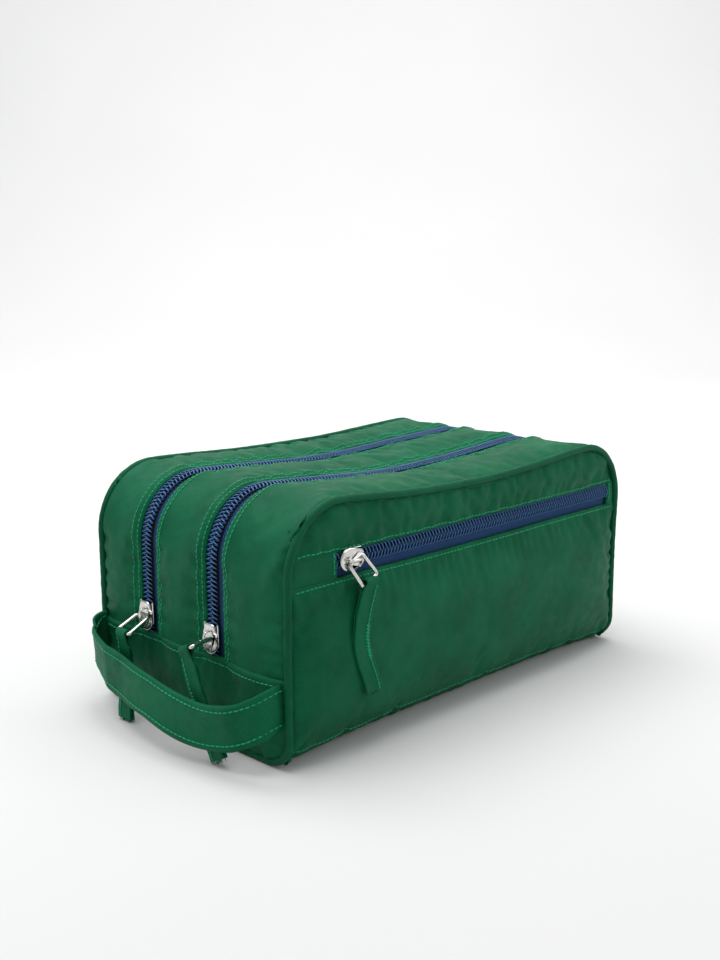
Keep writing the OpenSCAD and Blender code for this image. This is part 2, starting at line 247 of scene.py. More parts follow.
def sag(p):
    """Where a point of the firm box goes on the limp bag, before its cloth is simulated."""
    x, y, z = p
    main, pocket = slider_runs(p)
    free = 1 - max(main, pocket)
    middle = math.cos(math.pi * x / (2 * HALF_L)) ** 2
    deep = SAG - SAG_LESS_BEHIND * max(0.0, y) / HALF_W
    fall = deep * middle * (z / TOP_Z) ** 3 * (1 - pocket)
    along = 0.6 * wave(p, 60.0, 5.0) * min(1, z / 30)
    across = 0.9 * wave(p, 55.0, 2.0) * min(1, z / 30)
    rise = 0.7 * wave(p, 45.0, 9.0) * min(1, z / 40)
    return np.array([x + along * free, y + across * free, z - fall + rise * free])


def face_outward(mesh):
    """Turn all of a mesh's faces the same way out."""
    bm = bmesh.new()
    bm.from_mesh(mesh)
    bmesh.ops.recalc_face_normals(bm, faces=bm.faces)
    bm.to_mesh(mesh)
    bm.free()


def held_points():
    """Which points stay where they are: the seams, the zips' bands and the base."""
    held = np.zeros(len(POINTS), bool)
    for ids in (GUSSET_ID, WRAP_ID):
        held[ids[:, 0]] = held[ids[:, -1]] = True
    for a, b in ((FRONT_EDGE, MID_EDGES[0]), (MID_EDGES[1], REAR_EDGE)):
        zip_band = GUSSET_ID[:, (YS > a - NEAR) & (YS < b + NEAR)]
        held[zip_band[POINTS[zip_band][:, :, 2] > PATCH_Z - NEAR]] = True
    front = POINTS[:, 1] < -HALF_W + NEAR
    held |= front & (POINTS[:, 2] > POCKET_TOP - 0.6) & (POINTS[:, 2] < POCKET_OVER + 0.6)
    return held | (POINTS[:, 2] < NEAR)


def soften(ob):
    """Make an object slack cloth under a little pressure, pinned and grown by its two groups."""
    mod = ob.modifiers.new("Cloth", "CLOTH")
    cloth = mod.settings
    cloth.quality = 6
    cloth.mass = 0.3
    cloth.tension_stiffness = cloth.compression_stiffness = 20
    cloth.shear_stiffness = 8
    cloth.bending_stiffness = 0.6
    cloth.tension_damping = cloth.compression_damping = cloth.shear_damping = 8
    cloth.air_damping = 2
    cloth.vertex_group_mass = "pin"
    cloth.pin_stiffness = 5
    cloth.vertex_group_shrink = "grow"
    cloth.shrink_min = -0.045
    cloth.shrink_max = -0.006
    cloth.use_pressure = True
    cloth.uniform_pressure_force = 1.2
    cloth.effector_weights.gravity = 0.15
    mod.collision_settings.use_collision = False
    mod.point_cache.frame_start = 1
    mod.point_cache.frame_end = SIM_FRAMES + 10


def simulate():
    """Blow the welded shell up a little as slack cloth, held at its seams, zips and base."""
    start = np.array([sag(p) for p in POINTS])
    held = held_points()
    me = bpy.data.meshes.new("sim")
    faces = np.concatenate([quads(WRAP_ID), quads(GUSSET_ID)[:, ::-1]])
    me.from_pydata((start * SIM_SCALE).tolist(), [], faces.tolist())
    face_outward(me)
    ob = bpy.data.objects.new("sim", me)
    bpy.context.collection.objects.link(ob)
    ob.vertex_groups.new(name="pin").add(np.where(held)[0].tolist(), 1.0, "REPLACE")
    grow = ob.vertex_groups.new(name="grow")
    for i in np.where(~held)[0].tolist():
        d = np.sqrt(((start[held] - start[i]) ** 2).sum(1).min())
        grow.add([i], 1.0 - math.exp(-(d / 9.0) ** 2), "REPLACE")
    soften(ob)
    for f in range(1, SIM_FRAMES + 1):
        bpy.context.scene.frame_set(f)
    got = ob.evaluated_get(bpy.context.evaluated_depsgraph_get())
    move = np.array([v.co for v in got.data.vertices]) / SIM_SCALE - start
    bpy.context.scene.frame_set(1)
    bpy.data.objects.remove(ob)
    far = np.linalg.norm(move, axis=1)
    return start + move * np.minimum(1, CLOTH_REACH / np.maximum(far, 1e-6))[:, None]


SHELL = simulate()


# ---- the bag's fine surface
def refine(grid, k=2):
    """Add points between those of a grid, on smooth curves through them."""
    for axis in (0, 1):
        g = np.moveaxis(grid, axis, 0)
        n = len(g)
        pad = np.concatenate([[2 * g[0] - g[1]], g, [2 * g[-1] - g[-2]]])
        t = np.arange((n - 1) * k + 1) / k
        i = np.minimum(t.astype(int), n - 2)
        f = (t - i)[:, None, None]
        a, b, c, d = pad[i], pad[i + 1], pad[i + 2], pad[i + 3]
        g = b + 0.5 * f * (c - a + f * (2 * a - 5 * b + 4 * c - d + f * (3 * (b - c) + d - a)))
        grid = np.moveaxis(g, 0, axis)
    return grid


def unit(v):
    """Vectors with a length of 1."""
    return v / np.maximum(np.linalg.norm(v, axis=-1, keepdims=True), 1e-9)


def normals_of(grid):
    """Unit normals of a grid of points."""
    return unit(np.cross(np.gradient(grid, axis=0), np.gradient(grid, axis=1)))


def lengths(line):
    """Distance along a line of points, at each point."""
    step = np.linalg.norm(np.diff(line, axis=0), axis=1)
    return np.concatenate([[0.0], np.cumsum(step)])


class Surface:
    """One side of the bag as a grid: s runs along its rows' path, c across it, both in millimetres."""

    def __init__(self, ids, across):
        self.rest = refine(POINTS[ids])
        self.points = refine(SHELL[ids])
        self.normals = normals_of(self.points)
        self.normals *= np.sign((self.normals * (self.points - [0, 0, TOP_Z / 2])).sum())
        self.s = lengths(self.rest[:, self.rest.shape[1] // 2])
        self.c = refine(np.stack([across] * 2)[:, :, None])[0, :, 0]

    def block(self, s0, s1, c0, c1):
        """The part of the grid between two lengths and two widths."""
        rows = slice(np.abs(self.s - s0).argmin(), np.abs(self.s - s1).argmin() + 1)
        cols = slice(np.abs(self.c - c0).argmin(), np.abs(self.c - c1).argmin() + 1)
        s, c = np.meshgrid(self.s[rows], self.c[cols], indexing="ij")
        return Block(self.rest[rows, cols], self.points[rows, cols], self.normals[rows, cols], s, c)

    def at(self, s, c):
        """Points and normals at lengths s and widths c."""
        i = np.clip(np.searchsorted(self.s, s) - 1, 0, len(self.s) - 2)
        j = np.clip(np.searchsorted(self.c, c) - 1, 0, len(self.c) - 2)
        u = ((s - self.s[i]) / (self.s[i + 1] - self.s[i]))[:, None]
        v = ((c - self.c[j]) / (self.c[j + 1] - self.c[j]))[:, None]
        out = []
        for g in (self.points, self.normals):
            near = g[i, j] * (1 - v) + g[i, j + 1] * v
            far = g[i + 1, j] * (1 - v) + g[i + 1, j + 1] * v
            out.append(near * (1 - u) + far * u)
        return out[0], unit(out[1])


class Block:
    """A rectangular part of a Surface."""

    def __init__(self, rest, points, normals, s, c):
        self.rest, self.points, self.normals = rest, points, normals
        self.s, self.c = s, c


def seam_distance(rest):
    """How far each resting point lies from the nearest piped seam."""
    x, y, z = np.abs(rest[..., 0]), np.abs(rest[..., 1]), rest[..., 2]
    across, up = x - (HALF_L - TOP_R), z - (TOP_Z - TOP_R)
    corner = TOP_R - np.hypot(np.maximum(across, 0), np.maximum(up, 0))
    face = np.where((across > 0) & (up > 0), corner, np.minimum(HALF_L - x, TOP_Z - z))
    on_face = y > HALF_W - 0.01
    band = HALF_W - y
    low_band = BOTTOM_R - np.hypot(np.maximum(y - (HALF_W - BOTTOM_R), 0), np.maximum(BOTTOM_R - z, 0))
    end = np.where((y > HALF_W - BOTTOM_R) & (z < BOTTOM_R), np.minimum(low_band, band + BOTTOM_R), band)
    on_end = (x > HALF_L - 0.01) | (z > TOP_Z - 0.01) | ((across > 0) & (up > 0))
    bottom = HALF_L - x
    return np.where(on_face, face, np.where(on_end, end, bottom))


def crinkle(rest, size, seed, stretch=(1, 1, 1)):
    """Smooth noise over a grid of resting points."""
    flat = (rest / np.array(stretch)).reshape(-1, 3)
    return np.array([wave(p, size, seed) for p in flat]).reshape(rest.shape[:2])


def seam_relief(rest):
    """Outward offset of the fabric: rolled in at the piping, puckered beside it, faintly creased all over."""
    d = seam_distance(rest)
    roll = -1.7 * np.clip(1 - d / 4.5, 0, 1) ** 2
    pucker = 0.34 * crinkle(rest, 7.0, 3.0) * np.exp(-d / 9) * np.clip(d / 5, 0, 1)
    crease = 0.42 * crinkle(rest, 17.0, 7.0) + 0.14 * crinkle(rest, 6.0, 11.0)
    return roll + pucker + crease * np.clip(d / 6, 0, 1)


def fold_relief(d, rows):
    """Offset beside a folded edge at distance d: a raised double layer, pressed in at the stitch rows."""
    up = 0.5 / (1 + np.exp((d - rows[-1] - 1.2) / 0.35))
    dents = sum(0.34 * np.exp(-((d - r) / 0.75) ** 2) for r in rows)
    return up - dents


# ---- mesh making
RIM_BULGE = 0.4  # how far a sheet's rim rounds out, as a share of its thickness


def build(name, parts, material, body="bag"):
    """Make one object from lists of points, faces and flat coordinates, and let it ride on a body."""
    verts, faces, flats, count = [], [], [], 0
    for v, f, uv in parts:
        verts.append(v)
        flats.append(np.zeros((len(v), 2)) if uv is None else uv)
        faces += [tuple(int(i) + count for i in face) for face in f]
        count += len(v)
    verts = np.concatenate(verts) * MM
    if body:
        verts[:, 2] = np.maximum(verts[:, 2], 0.0)
    flats = np.concatenate(flats)
    me = bpy.data.meshes.new(name)
    me.from_pydata(verts.tolist(), [], faces)
    face_outward(me)
    loop_verts = np.zeros(len(me.loops), int)
    me.loops.foreach_get("vertex_index", loop_verts)
    layer = me.uv_layers.new(name="flat")
    layer.data.foreach_set("uv", flats[loop_verts].ravel())
    me.polygons.foreach_set("use_smooth", [True] * len(me.polygons))
    me.materials.append(material)
    ob = bpy.data.objects.new(name, me)
    bpy.context.collection.objects.link(ob)
    if body:
        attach(ob, body)
    return ob


def sheet_part(points, normals, thick, s, c):
    """A closed sheet of cloth from a grid of its outer points, with rounded rims."""
    r, k = points.shape[:2]
    thick = np.broadcast_to(thick, (r, k))[..., None]
    inner = points - normals * thick
    edge = [(0, j) for j in range(k)] + [(i, k - 1) for i in range(1, r)]
    edge += [(r - 1, j) for j in range(k - 2, -1, -1)] + [(i, 0) for i in range(r - 2, 0, -1)]
    i, j = np.array(edge).T
    out = unit(points[i, j] - points[np.clip(i, 1, r - 2), np.clip(j, 1, k - 2)])
    rim = points[i, j] - normals[i, j] * thick[i, j] / 2 + out * thick[i, j] * RIM_BULGE
    ids = np.arange(r * k).reshape(r, k)
    a = ids[i, j]
    b = 2 * r * k + np.arange(len(edge))
    faces = list(quads(ids)) + list(quads(ids + r * k)[:, ::-1])
    for one, two in ((a, b), (b, a + r * k)):
        faces += list(np.stack([one, two, np.roll(two, -1), np.roll(one, -1)], -1))
    uv = np.stack([s, c], -1)
    flat = np.concatenate([uv.reshape(-1, 2), uv.reshape(-1, 2), uv[i, j]])
    return np.concatenate([points.reshape(-1, 3), inner.reshape(-1, 3), rim]), faces, flat


def sweep_part(path, across, section, closed=False):
    """Carry a section along a path; across is the direction of the section's first axis."""
    n, m = len(path), section.shape[-2]
    ahead = np.roll(path, -1, 0) - np.roll(path, 1, 0)
    if not closed:
        ahead[0], ahead[-1] = path[1] - path[0], path[-1] - path[-2]
    ahead = unit(ahead)
    side = unit(across - (across * ahead).sum(-1, keepdims=True) * ahead)
    lift = np.cross(ahead, side)
    sec = np.broadcast_to(section, (n, m, 2))
    verts = path[:, None] + sec[..., :1] * side[:, None] + sec[..., 1:] * lift[:, None]
    ids = np.arange(n * m).reshape(n, m)
    nxt = np.roll(ids, -1, 0) if closed else ids[1:]
    cur = ids if closed else ids[:-1]
    faces = list(np.stack([cur, nxt, np.roll(nxt, -1, 1), np.roll(cur, -1, 1)], -1).reshape(-1, 4))
    if not closed:
        faces += [tuple(ids[0][::-1]), tuple(ids[-1])]
    around = np.linalg.norm(np.roll(sec, -1, 1) - sec, axis=-1).cumsum(1)
    along = np.broadcast_to(lengths(path)[:, None], (n, m))
    return verts.reshape(-1, 3), faces, np.stack([along, around], -1).reshape(-1, 2)


def circle(r, n):
    """Section of a round cord or wire."""
    a = np.arange(n) * 2 * math.pi / n
    return np.stack([np.cos(a), np.sin(a)], -1) * r


def ribbon(width, thick, n=8):
    """Section of a flat strip with round edges, as a closed outline."""
    x = np.linspace(-0.5, 0.5, n) * (width - thick)
    turn = np.linspace(math.pi / 2, -math.pi / 2, 4)[1:-1]
    right = np.stack([x[-1] + np.cos(turn) * thick / 2, np.sin(turn) * thick / 2], -1)
    top = np.stack([x, np.full(n, thick / 2)], -1)
    return np.concatenate([top, right, -top, -right])


def resample(line, step):
    """Points at even distances along a line of points, with any values that go with them."""
    d = lengths(line[:, :3])
    t = np.linspace(0, d[-1], max(2, int(d[-1] / step)))
    return np.stack([np.interp(t, d, line[:, k]) for k in range(line.shape[1])], -1)


STITCH_SHARE, STITCH_R, STITCH_LIFT = 0.84, 0.37, 0.18


def stitches(points, normals, pitch=2.7):
    """A row of stitches along a line that lies on the cloth."""
    line = resample(np.concatenate([points, normals], 1), 0.5)
    d = lengths(line[:, :3])
    parts = []
    t = np.linspace(-1, 1, 6)
    for k in range(int(d[-1] / pitch)):
        mid = (k + 0.5) * pitch
        at = mid + t * pitch * STITCH_SHARE / 2
        p = np.stack([np.interp(at, d, line[:, a]) for a in range(6)], -1)
        high_by = STITCH_LIFT - 0.42 * t**4
        path = p[:, :3] + p[:, 3:] * high_by[:, None]
        wide = STITCH_R * (1 - 0.35 * t**4)
        side = np.cross(p[:, 3:], np.gradient(path, axis=0))
        parts.append(sweep_part(path, side, circle(1, 6)[None] * wide[:, None, None]))
    return parts


# ---- materials
def srgb(r, g, b):
    """Linear colour from 0-255 screen values."""
    return tuple(((v / 255 + 0.055) / 1.055) ** 2.4 if v > 10 else v / 255 / 12.92 for v in (r, g, b)) + (1,)


class Finish:
    """A material being made, with short ways to add its nodes."""

    def __init__(self, name, roughness, **sockets):
        self.mat = bpy.data.materials.new(name)
        self.mat.use_nodes = True
        self.tree = self.mat.node_tree
        self.shader = self.tree.nodes["Principled BSDF"]
        self.shader.inputs["Roughness"].default_value = roughness
        for key, value in sockets.items():
            self.shader.inputs[key.replace("_", " ")].default_value = value

    def node(self, kind, **values):
        n = self.tree.nodes.new("ShaderNode" + kind)
        for key, value in values.items():
            if hasattr(n, key):
                setattr(n, key, value)
            else:
                n.inputs[key.replace("_", " ")].default_value = value
        return n

    def link(self, a, b):
        self.tree.links.new(a, b)

    def place(self, flat=True):
        """Coordinates in millimetres: along the cloth, or in space."""
        source = self.node("UVMap", uv_map="flat").outputs["UV"]
        if flat:
            return source
        scaled = self.node("VectorMath", operation="SCALE", Scale=1000.0)
        self.link(self.node("TexCoord").outputs["Object"], scaled.inputs[0])
        return scaled.outputs["Vector"]

    def noise(self, size, place, detail=3.0):
        """Clouds of about a size in millimetres."""
        n = self.node("TexNoise", Scale=1 / size, Detail=detail)
        self.link(place, n.inputs["Vector"])
        return n.outputs["Fac"]

    def bands(self, size, direction, place, ragged=0.4):
        """Stripes that repeat at a size in millimetres."""
        n = self.node("TexWave", Scale=0.314 / size, Distortion=ragged, Detail=1.0, bands_direction=direction)
        self.link(place, n.inputs["Vector"])
        return n.outputs["Fac"]

    def feed(self, value, socket):
        """Give a socket a constant, or another node's output."""
        if isinstance(value, (float, tuple)):
            socket.default_value = value
        else:
            self.link(value, socket)

    def maths(self, operation, a, b):
        """Two values added or multiplied."""
        n = self.node("Math", operation=operation)
        self.feed(a, n.inputs[0])
        self.feed(b, n.inputs[1])
        return n.outputs["Value"]

    def mix(self, fac, a, b):
        """A colour between two colours."""
        n = self.node("Mix", data_type="RGBA")
        self.link(fac, n.inputs["Factor"])
        self.feed(a, n.inputs[6])
        self.feed(b, n.inputs[7])
        return n.outputs[2]

    def ramp(self, fac, low_at, high_at, low_to=0.0, high_to=1.0):
        """A value carried from one range to another."""
        n = self.node("MapRange")
        self.link(fac, n.inputs["Value"])
        for k, v in zip(("From Min", "From Max", "To Min", "To Max"), (low_at, high_at, low_to, high_to)):
            n.inputs[k].default_value = v
        return n.outputs["Result"]

    def bump(self, height, depth, strength=0.6, under=None):
        """Relief in the surface's shading, on top of the relief under it."""
        n = self.node("Bump", Strength=strength, Distance=depth * MM)
        self.link(height, n.inputs["Height"])
        if under:
            self.link(under, n.inputs["Normal"])
        self.link(n.outputs["Normal"], self.shader.inputs["Normal"])
        return n.outputs["Normal"]

    def colour(self, value):
        self.link(value, self.shader.inputs["Base Color"])

    def rough(self, value):
        self.link(value, self.shader.inputs["Roughness"])


def woven(name, dark, light, thread=0.62, sheen=0.06, weave=0.10):
    """Plain-woven nylon: crossed threads, uneven dye, a faint satin sheen and fine creases."""
    f = Finish(name, 0.55, Sheen_Weight=sheen, Sheen_Roughness=0.45, IOR=1.28)
    f.shader.inputs["Sheen Tint"].default_value = light
    f.shader.inputs["Specular Tint"].default_value = (0.25, 0.95, 0.6, 1)
    flat, space = f.place(), f.place(False)
    warp = f.bands(thread, "X", flat)
    weft = f.bands(thread, "Y", flat)
    cross = f.maths("MULTIPLY", warp, weft)
    blotch = f.noise(22.0, space)
    fleck = f.noise(0.9, flat, 2.0)
    tone = f.maths("ADD", f.maths("MULTIPLY", blotch, 0.55), f.maths("MULTIPLY", fleck, 0.3))
    tone = f.maths("ADD", tone, f.maths("MULTIPLY", cross, 0.22))
    f.colour(f.mix(f.ramp(tone, 0.28, 0.78), dark, light))
    f.rough(f.ramp(f.noise(6.0, space), 0.3, 0.7, 0.47, 0.66))
    fine = f.bump(cross, weave, 0.7)
    f.bump(f.noise(3.2, space, 4.0), 0.35, 0.35, fine)
    return f.mat


def tape_cloth():
    """Zip tape: navy herringbone weave, with painted shade where it runs under the coil."""
    f = Finish("zip_tape_cloth", 0.75, Sheen_Weight=0.05, IOR=1.25)
    flat = f.place()
    ribs = f.bands(0.9, "DIAGONAL", flat, 0.2)
    tone = f.ramp(f.maths("ADD", ribs, f.noise(1.1, flat)), 0.5, 1.5)
    parts = f.node("SeparateXYZ")
    f.link(flat, parts.inputs[0])
    # Painted shade: near-black within 3.2 mm of the zip's middle, under the coil, fading to the tape's own
    # navy by 4.6 mm.
    painted_shade_under_coil = f.ramp(parts.outputs["Y"], 3.2, 4.6)
    cloth = f.mix(tone, srgb(12, 38, 70), srgb(24, 68, 114))
    f.colour(f.mix(painted_shade_under_coil, srgb(4, 10, 22), cloth))
    f.bump(ribs, 0.18, 0.8)
    return f.mat


def coil_plastic():
    """Moulded nylon filament of the zip's teeth, with a painted highlight on top and painted shade below."""
    f = Finish("coil_nylon", 0.32, Specular_IOR_Level=0.4, Coat_Weight=0.08, Coat_Roughness=0.25)
    space = f.place(False)
    parts = f.node("SeparateXYZ")
    f.link(f.place(), parts.inputs[0])
    # Painted light: a streak of uneven pale blue along each filament's outward face, and near-black painted
    # shade on its sides and underside.
    painted_light_mask = f.ramp(parts.outputs["Y"], 0.0, 0.95)
    painted_highlight = f.mix(f.noise(2.0, space), srgb(24, 76, 128), srgb(54, 110, 168))
    f.colour(f.mix(painted_light_mask, srgb(4, 14, 32), painted_highlight))
    f.rough(f.ramp(f.noise(1.2, space), 0.3, 0.7, 0.22, 0.42))
    f.bump(f.noise(0.5, space), 0.05, 0.4)
    return f.mat


def sewing_thread():
    """Twisted polyester thread with a bright, silky green."""
    f = Finish("sewing_thread", 0.45, Sheen_Weight=0.05, IOR=1.3)
    twist = f.bands(0.5, "DIAGONAL", f.place(), 0.1)
    f.colour(f.mix(twist, srgb(0, 112, 72), srgb(4, 172, 114)))
    f.bump(twist, 0.08, 0.7)
    return f.mat


def polished_nickel():
    """Nickel plate, tumbled smooth, with fine handling marks."""
    f = Finish("polished_nickel", 0.16, Metallic=1.0)
    space = f.place(False)
    f.colour(f.mix(f.noise(3.0, space), srgb(190, 188, 184), srgb(226, 225, 222)))
    f.rough(f.ramp(f.noise(1.6, space, 5.0), 0.3, 0.75, 0.1, 0.3))
    f.bump(f.noise(1.4, space, 4.0), 0.03, 0.35)
    return f.mat


def studio_floor():
    """Matt pale paper."""
    f = Finish("studio_floor", 0.85, Specular_IOR_Level=0.15)
    f.colour(f.mix(f.noise(300.0, f.place(False)), srgb(203, 203, 202), srgb(207, 207, 206)))
    return f.mat


SHELL_CLOTH = woven("bag_nylon", srgb(6, 66, 42), srgb(18, 100, 66))
STRAP_CLOTH = woven("strap_nylon", srgb(6, 68, 44), srgb(18, 104, 68), thread=0.8, weave=0.16)
PIPING_CLOTH = woven("piping_nylon", srgb(6, 62, 40), srgb(18, 96, 64), thread=0.5)
LINING_CLOTH = woven("lining_nylon", srgb(20, 60, 46), srgb(42, 92, 72), sheen=0.04)
TAPE = tape_cloth()
COIL = coil_plastic()
THREAD = sewing_thread()
NICKEL = polished_nickel()


# ---- outer panels
WRAP_SIDE = Surface(WRAP_ID, XS)
GUSSET_SIDE = Surface(GUSSET_ID, YS)

WRAP_END = WRAP_SIDE.s[-1]
PATH_END = GUSSET_SIDE.s[-1]
FRONT_SEAM = TOP_Z - BOTTOM_R + BOTTOM_R * math.pi / 4  # halfway round the bottom corner
# How far the rows of stitches lie from their edges, and how far they stop short of the piping.
STITCH_ROWS = (2.0, 5.2)
LAP_ROW, TAB_ROW, BASE_ROW = 2.4, 2.0, 2.2
ROW_CLEAR = 4.0


def panel(name, surface, s0, s1, c0, c1, relief=None):
    """One cut piece of the outer cloth, sewn in place, with a relief of its own beside the seams' one."""
    b = surface.block(s0, s1, c0, c1)
    extra = relief(b) if relief else np.zeros(b.s.shape)
    outer = b.points + b.normals * (seam_relief(b.rest) + extra)[..., None]
    part = sheet_part(outer, b.normals, SHELL_T + np.maximum(extra, 0), b.s, b.c)
    ob = build(f"{name}_cloth", [part], SHELL_CLOTH)
    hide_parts(name)
    return b, outer


def pressed(d, row):
    """Depth of the groove that a row of stitches pulls into the cloth, at distance d from an edge."""
    return 0.3 * np.exp(-((d - row) / 0.8) ** 2)


ROWS = []


def sew(block, outer, s=None, c=None, span=None):
    """Put a row of stitches at one length or one width of a block."""
    if c is not None:
        j = np.abs(block.c[0] - c).argmin()
        p, n, along = outer[:, j], block.normals[:, j], block.s[:, j]
    else:
        i = np.abs(block.s[:, 0] - s).argmin()
        p, n, along = outer[i], block.normals[i], block.c[i]
    keep = (along >= span[0]) & (along <= span[1]) if span else np.ones(len(p), bool)
    ROWS.append(stitches(p[keep], n[keep]))


def gusset_strip(name, y0, y1, folds):
    """A strip of the over-the-top band; folds names its edges that are folded beside a zip."""
    def relief(b):
        out = np.zeros(b.s.shape)
        for edge in folds:
            out += fold_relief(np.abs(b.c - edge), STITCH_ROWS)
        return out
    block, outer = panel(name, GUSSET_SIDE, PATCH_Z, PATH_END - PATCH_Z, y0, y1, relief)
    for edge in folds:
        inward = 1 if edge < (y0 + y1) / 2 else -1
        for row in STITCH_ROWS:
            sew(block, outer, c=edge + inward * row)


def end_patch(name, s0, s1, edge):
    """The low cloth at one end, lapped over the zips' ends and the strips."""
    def relief(b):
        d = np.abs(b.s - edge)
        return 1.1 * np.exp(-(d / 5) ** 2) - pressed(d, LAP_ROW)
    block, outer = panel(name, GUSSET_SIDE, s0, s1, -HALF_W, HALF_W, relief)
    row = edge - LAP_ROW if s0 < edge else edge + LAP_ROW
    sew(block, outer, s=row, span=(-HALF_W + ROW_CLEAR, HALF_W - ROW_CLEAR))


def outer_cloth():
    """Every cut piece that shows from outside, with its stitches."""
    gusset_strip("gusset_front_strip", -HALF_W, FRONT_EDGE, [FRONT_EDGE])
    gusset_strip("gusset_middle_strip", *MID_EDGES, MID_EDGES)
    gusset_strip("gusset_rear_strip", REAR_EDGE, HALF_W, [REAR_EDGE])
    end_patch("left_end_patch", 0.0, PATCH_Z, PATCH_Z)
    end_patch("right_end_patch", PATH_END - PATCH_Z, PATH_END, PATH_END - PATCH_Z)
    wrap_panels()


def wrap_panels():
    """The front above and below the pocket zip, the bottom, the back and the zip's two end tabs."""
    over, under = TOP_Z - POCKET_OVER, TOP_Z - POCKET_TOP
    back_seam = WRAP_END - FRONT_SEAM

    def above_zip(b):
        return fold_relief(np.abs(b.s - over), STITCH_ROWS[:1]) * (b.s > over - 9)

    def below_zip(b):
        top = fold_relief(np.abs(b.s - under), STITCH_ROWS[:1])
        return top - pressed(np.abs(b.s - FRONT_SEAM), BASE_ROW)

    def above_base(b):
        return -pressed(np.abs(b.s - back_seam), BASE_ROW)

    for name, s0, s1, relief, rows in (
        ("front_upper_panel", 0, over, above_zip, [over - STITCH_ROWS[0]]),
        ("pocket_panel", under, FRONT_SEAM, below_zip, [under + STITCH_ROWS[0], FRONT_SEAM - BASE_ROW]),
        ("bottom_panel", FRONT_SEAM, back_seam, None, []),
        ("back_panel", back_seam, WRAP_END, above_base, [back_seam + BASE_ROW]),
    ):
        block, outer = panel(name, WRAP_SIDE, s0, s1, -HALF_L, HALF_L, relief)
        for row in rows:
            sew(block, outer, s=row, span=(-HALF_L + ROW_CLEAR, HALF_L - ROW_CLEAR))

    for side, x0, x1 in (("left", -HALF_L, POCKET_X[0]), ("right", POCKET_X[1], HALF_L)):
        edge, inward = (x1, -TAB_ROW) if side == "left" else (x0, TAB_ROW)

        def lap(b):
            d = np.abs(b.c - edge)
            return 0.9 * np.exp(-(d / 6) ** 2) - pressed(d, TAB_ROW)

        block, outer = panel(f"pocket_end_tab_{side}", WRAP_SIDE, over, under, x0, x1, lap)
        sew(block, outer, c=edge + inward)


def topstitching():
    """Every row of stitches on the bag's own cloth, as one piece."""
    build("topstitching", [p for row in ROWS for p in row], THREAD)


PIPING_R = 2.1


def piping():
    """Cord covered in bias-cut cloth, round both faces and under both ends."""
    g = GUSSET_SIDE.points
    loop = np.concatenate([g[:-1, 0], g[-1, :-1], g[:0:-1, -1], g[0, :0:-1]])
    loop[:, 2] += 2.0 * np.clip(1 - loop[:, 2] / 17, 0, 1)
    loop = resample(np.concatenate([loop, loop[:1]]), 1.0)[:-1]
    away = unit(loop - np.array([0, 0, TOP_Z / 2]))
    n, m = len(loop), 14
    a = np.arange(m) * 2 * math.pi / m
    s = np.arange(n)[:, None] * 1.0
    twist = np.sin(2 * math.pi * s / 5.5 + a)
    round_cord = [(2 * math.cos(t), 2 * math.sin(t)) for t in a]
    rough = np.array([[wave((i * 0.55, *around), 1.6, 21.0) for around in round_cord] for i in range(n)])
    radius = PIPING_R - 0.12 + 0.07 * twist * rough + 0.16 * rough
    section = np.stack([np.cos(a) * radius, np.sin(a) * radius], -1)
    cord = sweep_part(loop, away, section, closed=True)
    ob = build("bag_piping", [cord], PIPING_CLOTH)
    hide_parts("seam_piping")


TAPE_W, TAPE_GAP = 12.5, 0.45
CHAIN_HALF = 4.0
PITCH, FILAMENT, SKEW = 2.3, 0.4, 0.35


def tape(name, surface, centre, side, run, along_rows):
    """One woven half of a zip, behind the cloth."""
    s = np.linspace(*run, int(abs(run[1] - run[0]) / 2.0))
    off = np.linspace(TAPE_GAP, TAPE_W, 9) * side + centre
    grid_s, grid_c = np.meshgrid(s, off, indexing="ij")
    s_at, c_at = (grid_s, grid_c) if along_rows else (grid_c, grid_s)
    p, n = surface.at(s_at.ravel(), c_at.ravel())
    p, n = p.reshape(*grid_s.shape, 3), n.reshape(*grid_s.shape, 3)
    # The second flat coordinate is the distance from the zip's middle, by which the tape's material paints
    # shade under the coil.
    part = sheet_part(p - n * (SHELL_T + 0.05), n, TAPE_T, grid_s, np.abs(grid_c - centre))
    ob = build(f"{name}_weave", [part], TAPE)
    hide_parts(name)


def coil(name, surface, centre, side, run, along_rows):
    """One half of the zip's teeth: a flattened helix, in step with its mirror image."""
    turns = abs(run[1] - run[0]) / PITCH
    t = np.arange(int(turns * 12)) / 12
    angle = 2 * math.pi * t
    s = run[0] + (t + (0.25 if side > 0 else -0.25)) * PITCH - SKEW * np.cos(angle)
    reach = CHAIN_HALF - FILAMENT
    off = centre + side * (reach / 2 - 0.1 + (reach / 2 + 0.1) * np.cos(angle))
    wave_up = np.sin(angle) * (1 - 0.18 * np.cos(angle))
    p, n = surface.at(s, off) if along_rows else surface.at(off, s)
    path = p + n * (-0.2 + 0.88 * wave_up)[:, None]
    verts, faces, flat = sweep_part(path, n, circle(FILAMENT, 8))
    # The second flat coordinate is how far the filament's surface faces out from the cloth; the coil's
    # material paints its highlight and shade by it.
    flat[:, 1] = np.tile(circle(1, 8)[:, 0], len(path))
    ob = build(f"{name}_teeth", [(verts, faces, flat)], COIL)
    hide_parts(name)


def zips():
    """The three zips' tapes and coils."""
    main_run = PATCH_Z - 1.0, PATH_END - PATCH_Z + 1.0
    for z, y in ZIP_Y.items():
        for word, side in (("front", -1), ("back", 1)):
            tape(f"{z}_zip_tape_{word}", GUSSET_SIDE, y, side, main_run, True)
            coil(f"{z}_zip_coil_{word}", GUSSET_SIDE, y, side, main_run, True)
    level = TOP_Z - POCKET_Z
    pocket_run = POCKET_X[0] - 0.5, POCKET_X[1] + 0.5
    tape_run = POCKET_X[0] - 6.0, POCKET_X[1] + 5.0
    for word, side in (("upper", -1), ("lower", 1)):
        tape(f"pocket_zip_tape_{word}", WRAP_SIDE, level, side, tape_run, False)
        coil(f"pocket_zip_coil_{word}", WRAP_SIDE, level, side, pocket_run, False)


